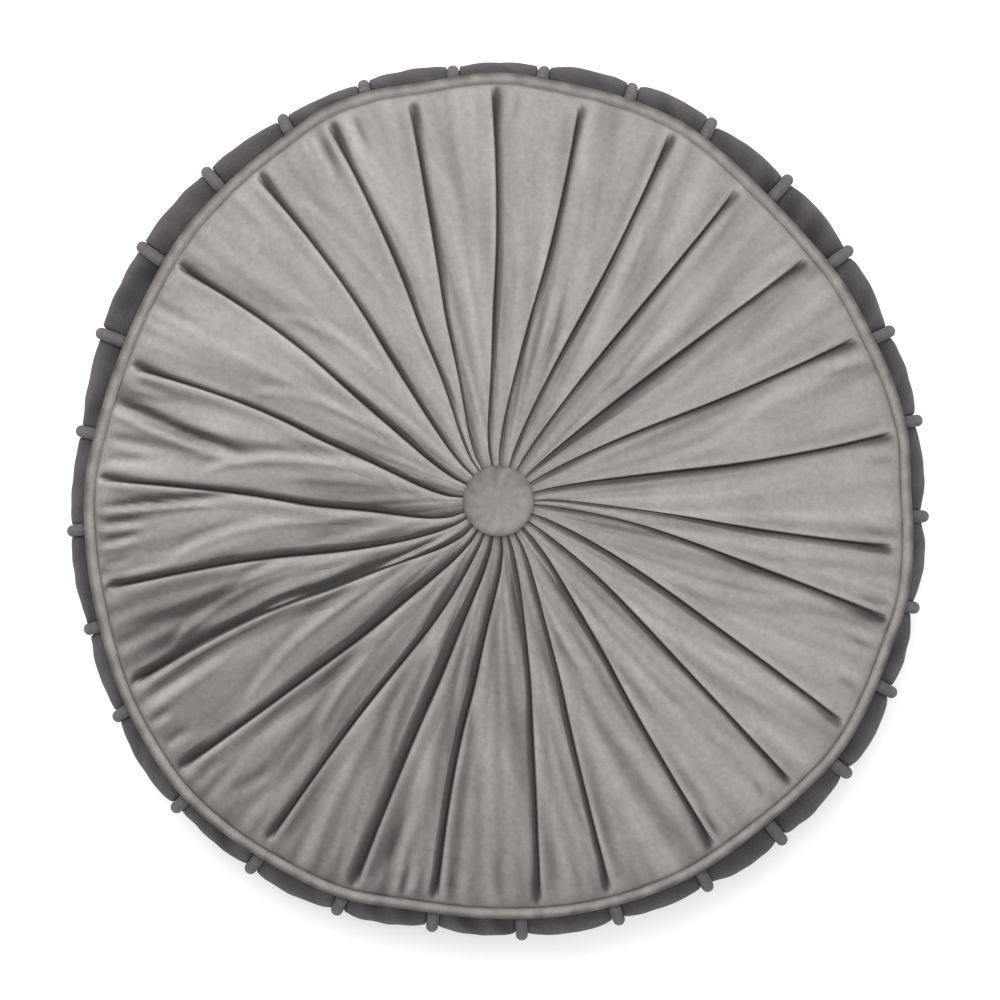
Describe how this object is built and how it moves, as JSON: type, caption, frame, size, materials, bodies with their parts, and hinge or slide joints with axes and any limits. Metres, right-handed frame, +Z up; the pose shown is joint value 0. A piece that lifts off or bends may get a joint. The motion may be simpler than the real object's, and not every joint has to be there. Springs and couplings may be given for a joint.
{
  "type": "floor cushion",
  "caption": "Round upholstered floor cushion with a top panel gathered into a central covered button, corded edges and a full side band crossed by upright pipings.",
  "frame": {"origin": "on the floor under the centre of the top button, at the bottom of the flat part of the bottom panel", "axes": "+Z up through both buttons; +Y points midway between the first and second side pipings, and the numbers run clockwise seen from above; +X to the right seen from above with +Y away"},
  "size_m": [0.6094, 0.6084, 0.15],
  "materials": {
    "velvet": "matte",
    "velvet_side": "matte",
    "cotton_liner": "matte",
    "fibre": "matte",
    "cotton_cord": "matte",
    "waxed_twine": "matte",
    "button_steel": "satin"
  },
  "bodies": {
    "root": {"top_panel": "velvet", "bottom_panel": "velvet", "side_band": "velvet_side", "top_welt_cover": "velvet", "top_welt_cord": "cotton_cord", "bottom_welt_cover": "velvet", "bottom_welt_cord": "cotton_cord", "side_piping_01": "velvet_side", "side_piping_02": "velvet_side", "side_piping_03": "velvet_side", "side_piping_04": "velvet_side", "side_piping_05": "velvet_side", "side_piping_06": "velvet_side", "side_piping_07": "velvet_side", "side_piping_08": "velvet_side", "side_piping_09": "velvet_side", "side_piping_10": "velvet_side", "side_piping_11": "velvet_side", "side_piping_12": "velvet_side", "side_piping_13": "velvet_side", "side_piping_14": "velvet_side", "side_piping_15": "velvet_side", "side_piping_16": "velvet_side", "side_piping_17": "velvet_side", "side_piping_18": "velvet_side", "side_piping_19": "velvet_side", "side_piping_20": "velvet_side", "side_piping_21": "velvet_side", "side_piping_22": "velvet_side", "side_piping_23": "velvet_side", "side_piping_24": "velvet_side", "side_piping_25": "velvet_side", "side_piping_26": "velvet_side", "side_piping_27": "velvet_side", "side_piping_28": "velvet_side", "side_piping_29": "velvet_side", "inner_liner": "cotton_liner", "fibre_fill": "fibre", "top_button_cover": "velvet", "top_button_shell": "button_steel", "top_button_back": "button_steel", "top_button_eye": "button_steel", "top_gather_thread": "waxed_twine", "bottom_button_cover": "velvet", "bottom_button_shell": "button_steel", "bottom_button_back": "button_steel", "bottom_button_eye": "button_steel", "bottom_gather_thread": "waxed_twine", "tufting_twine": "waxed_twine"}
  },
  "joints": []
}
